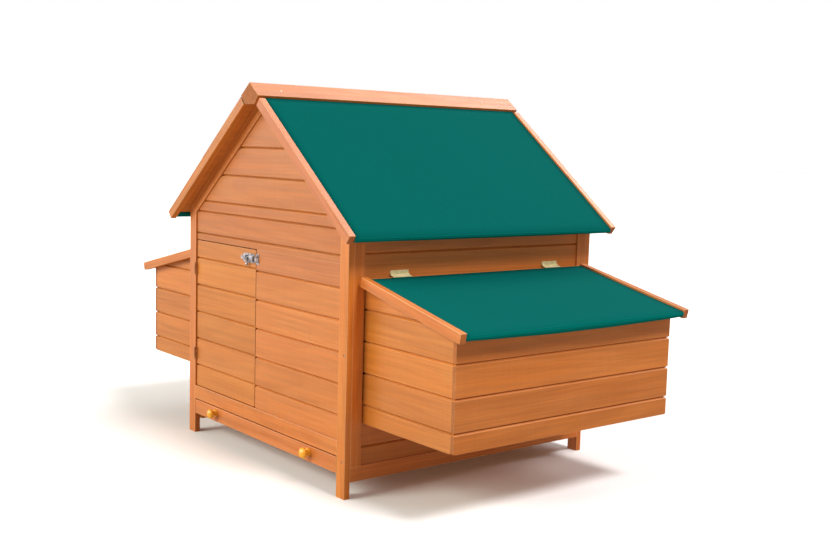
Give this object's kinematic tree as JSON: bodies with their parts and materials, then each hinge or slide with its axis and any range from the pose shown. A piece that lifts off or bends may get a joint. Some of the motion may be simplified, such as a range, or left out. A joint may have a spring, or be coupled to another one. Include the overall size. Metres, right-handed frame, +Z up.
{
  "type": "hen house with nesting boxes",
  "caption": "Wooden hen house on legs with a pitched felt roof, a hinged and bolted front door, a pull-out floor tray, and a lidded nesting box on either side.",
  "frame": {"origin": "on the ground under the middle of the house", "axes": "+Z up, X from nest box to nest box with the cabin between them, Y along the ridge with the door and tray on the -Y side"},
  "size_m": [1.7, 0.992, 1.1],
  "materials": {
    "stained_frame": "stained fir, satin",
    "stained_board": "stained tongue-and-groove fir boards, satin",
    "stained_inner": "stained fir, matt",
    "green_felt": "mineral-faced roofing felt, matt",
    "zinc_steel": "bright zinc plate",
    "brassed_steel": "brass-plated, satin",
    "lacquered_knob": "clear gloss lacquer"
  },
  "bodies": {
    "house": {"back_bottom_rail": "stained_frame", "back_panel": "stained_board", "back_post_left": "stained_frame", "back_post_right": "stained_frame", "back_rafter_left": "stained_frame", "back_rafter_right": "stained_frame", "door_hinge_frame_leaves": "brassed_steel", "door_stop_battens": "stained_inner", "frame_screws": "zinc_steel", "front_fixed_panel": "stained_board", "front_post_left": "stained_frame", "front_post_right": "stained_frame", "front_rafter_left": "stained_frame", "front_rafter_right": "stained_frame", "front_sill_rail": "stained_frame", "front_upper_panel": "stained_board", "hinge_pins": "zinc_steel", "latch_keeper": "zinc_steel", "lid_hinge_wall_leaves": "brassed_steel", "nest_dividers": "stained_inner", "nest_end_panels_left": "stained_board", "nest_end_panels_right": "stained_board", "nest_floors": "stained_inner", "nest_outer_panel_left": "stained_board", "nest_outer_panel_right": "stained_board", "perch_cradles": "stained_inner", "perch_rail": "stained_inner", "ridge_beam": "stained_frame", "roof_battens": "stained_frame", "roof_deck_left": "stained_board", "roof_deck_right": "stained_board", "roof_felt_left": "green_felt", "roof_felt_right": "green_felt", "side_bottom_rails": "stained_frame", "side_frame_left": "stained_frame", "side_frame_right": "stained_frame", "side_lower_panel_left": "stained_board", "side_lower_panel_right": "stained_board", "side_upper_panel_left": "stained_board", "side_upper_panel_right": "stained_board", "tray_runners": "stained_inner"},
    "door": {"door_panel": "stained_board", "door_battens": "stained_inner", "door_hinge_door_leaves": "brassed_steel", "latch_plate": "zinc_steel"},
    "latch_bolt": {"latch_bolt": "zinc_steel"},
    "tray": {"tray_base": "stained_inner", "tray_front": "stained_frame", "tray_sides": "stained_inner", "tray_knobs": "lacquered_knob"},
    "lid_right": {"lid_deck_right": "stained_board", "lid_felt_right": "green_felt", "lid_strips_right": "stained_frame", "lid_hinge_leaves_right": "brassed_steel"},
    "lid_left": {"lid_deck_left": "stained_board", "lid_felt_left": "green_felt", "lid_strips_left": "stained_frame", "lid_hinge_leaves_left": "brassed_steel"}
  },
  "joints": [
    {"name": "door_hinge", "type": "hinge", "parent": "house", "child": "door", "pos_m": [-0.3988, -0.4553, 0.396], "axis": [0, 0, -1], "range_deg": [0, 170]},
    {"name": "bolt_slide", "type": "slide", "parent": "door", "child": "latch_bolt", "axis": [1, 0, 0], "range_m": [0, 0.022]},
    {"name": "tray_slide", "type": "slide", "parent": "house", "child": "tray", "axis": [0, -1, 0], "range_m": [0, 0.7]},
    {"name": "lid_right_hinge", "type": "hinge", "parent": "house", "child": "lid_right", "pos_m": [0.4363, 0, 0.5922], "axis": [0, -1, 0], "range_deg": [0, 66]},
    {"name": "lid_left_hinge", "type": "hinge", "parent": "house", "child": "lid_left", "pos_m": [-0.4363, 0, 0.5922], "axis": [0, 1, 0], "range_deg": [0, 66]}
  ]
}
